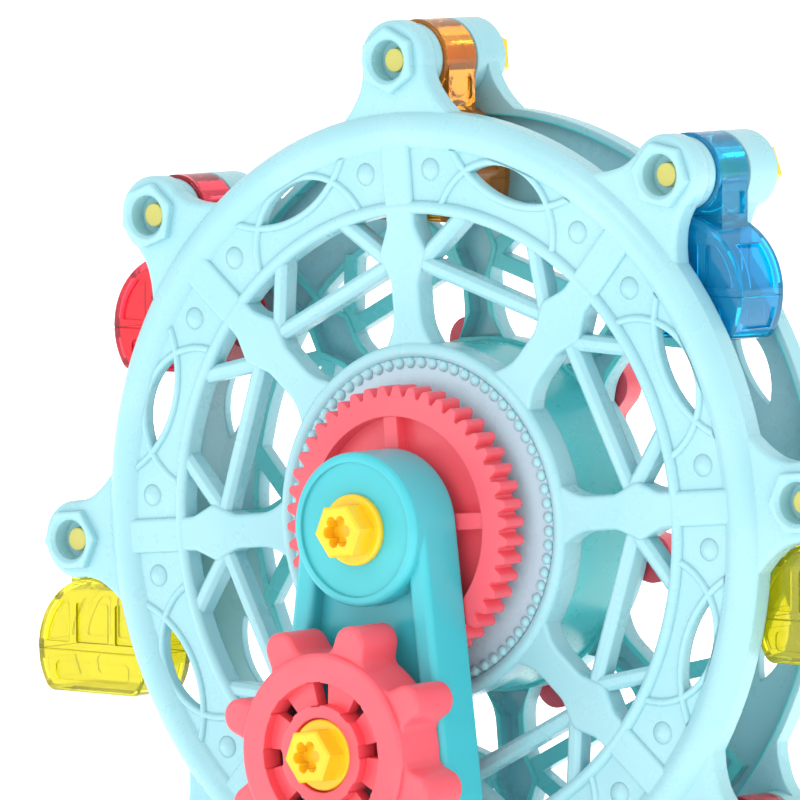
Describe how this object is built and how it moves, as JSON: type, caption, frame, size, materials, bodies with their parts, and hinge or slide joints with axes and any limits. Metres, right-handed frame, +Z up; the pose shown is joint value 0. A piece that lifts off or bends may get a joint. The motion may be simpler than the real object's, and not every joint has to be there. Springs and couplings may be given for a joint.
{
  "type": "crank ferris wheel toy",
  "caption": "Tabletop toy ferris wheel: a hand wheel on an upright turns a spoked double wheel through gears, with clear hanging gondolas that swing freely.",
  "frame": {"origin": "on the ground under the middle of the base, which is the bottom centre of the whole object", "axes": "+Z up, -Y towards the hand wheel side, +X to the right when facing the hand wheel"},
  "size_m": [0.2614, 0.136, 0.2963],
  "materials": {
    "aqua_plastic": "smooth moulded plastic, satin gloss",
    "coral_plastic": "smooth moulded plastic, satin gloss",
    "yellow_plastic": "glossy moulded plastic",
    "turquoise_plastic": "smooth moulded plastic, satin gloss",
    "white_plastic": "plain turned plastic",
    "screw_steel": "plated screw",
    "foot_rubber": "soft grey rubber",
    "clear_yellow": "clear tinted plastic",
    "clear_blue": "clear tinted plastic",
    "clear_orange": "clear tinted plastic",
    "clear_red": "clear tinted plastic"
  },
  "bodies": {
    "frame": {"front_upright": "turquoise_plastic", "axle": "white_plastic", "hub_bolt": "yellow_plastic", "rear_bolt": "yellow_plastic", "rear_washer": "yellow_plastic", "foot_bolts": "yellow_plastic", "base_shell": "turquoise_plastic", "base_cover": "turquoise_plastic", "cover_screws": "screw_steel", "base_feet": "foot_rubber"},
    "wheel": {"front_plate": "aqua_plastic", "rear_plate": "aqua_plastic", "hub_drum": "aqua_plastic", "main_gear": "coral_plastic", "rear_cog": "coral_plastic", "gondola_bolts": "yellow_plastic"},
    "crank": {"hand_wheel": "coral_plastic", "crank_bolt": "yellow_plastic", "crank_shaft": "white_plastic", "pinion": "coral_plastic", "grip_post": "yellow_plastic"},
    "grip": {"crank_grip": "aqua_plastic"},
    "gondola_1": {"cabin_1": "clear_yellow", "tub_1": "clear_yellow"},
    "gondola_2": {"cabin_2": "clear_blue", "tub_2": "clear_blue"},
    "gondola_3": {"cabin_3": "clear_orange", "tub_3": "clear_orange"},
    "gondola_4": {"cabin_4": "clear_red", "tub_4": "clear_red"},
    "gondola_5": {"cabin_5": "clear_yellow", "tub_5": "clear_yellow"},
    "gondola_6": {"cabin_6": "clear_blue", "tub_6": "clear_blue"},
    "gondola_7": {"cabin_7": "clear_orange", "tub_7": "clear_orange"},
    "gondola_8": {"cabin_8": "clear_red", "tub_8": "clear_red"}
  },
  "joints": [
    {"name": "wheel_turn", "type": "hinge", "parent": "frame", "child": "wheel", "pos_m": [0, 0.0225, 0.174], "axis": [0, 1, 0], "continuous": true},
    {"name": "crank_turn", "type": "hinge", "parent": "frame", "child": "crank", "pos_m": [0, -0.02, 0.12035], "axis": [0, 1, 0], "continuous": true},
    {"name": "grip_turn", "type": "hinge", "parent": "crank", "child": "grip", "pos_m": [0, -0.045, 0.09935], "axis": [0, 1, 0], "continuous": true},
    {"name": "gondola_swing_1", "type": "hinge", "parent": "wheel", "child": "gondola_1", "pos_m": [0.11248, 0.0225, 0.18483], "axis": [0, 1, 0], "continuous": true},
    {"name": "gondola_swing_2", "type": "hinge", "parent": "wheel", "child": "gondola_2", "pos_m": [0.07188, 0.0225, 0.26119], "axis": [0, 1, 0], "continuous": true},
    {"name": "gondola_swing_3", "type": "hinge", "parent": "wheel", "child": "gondola_3", "pos_m": [-0.01083, 0.0225, 0.28648], "axis": [0, 1, 0], "continuous": true},
    {"name": "gondola_swing_4", "type": "hinge", "parent": "wheel", "child": "gondola_4", "pos_m": [-0.08719, 0.0225, 0.24588], "axis": [0, 1, 0], "continuous": true},
    {"name": "gondola_swing_5", "type": "hinge", "parent": "wheel", "child": "gondola_5", "pos_m": [-0.11248, 0.0225, 0.16317], "axis": [0, 1, 0], "continuous": true},
    {"name": "gondola_swing_6", "type": "hinge", "parent": "wheel", "child": "gondola_6", "pos_m": [-0.07188, 0.0225, 0.08681], "axis": [0, 1, 0], "continuous": true},
    {"name": "gondola_swing_7", "type": "hinge", "parent": "wheel", "child": "gondola_7", "pos_m": [0.01083, 0.0225, 0.06152], "axis": [0, 1, 0], "continuous": true},
    {"name": "gondola_swing_8", "type": "hinge", "parent": "wheel", "child": "gondola_8", "pos_m": [0.08719, 0.0225, 0.10212], "axis": [0, 1, 0], "continuous": true}
  ],
  "couplings": [
    {"joint": "crank_turn", "follows": "wheel_turn", "ratio": -1.6429}
  ]
}
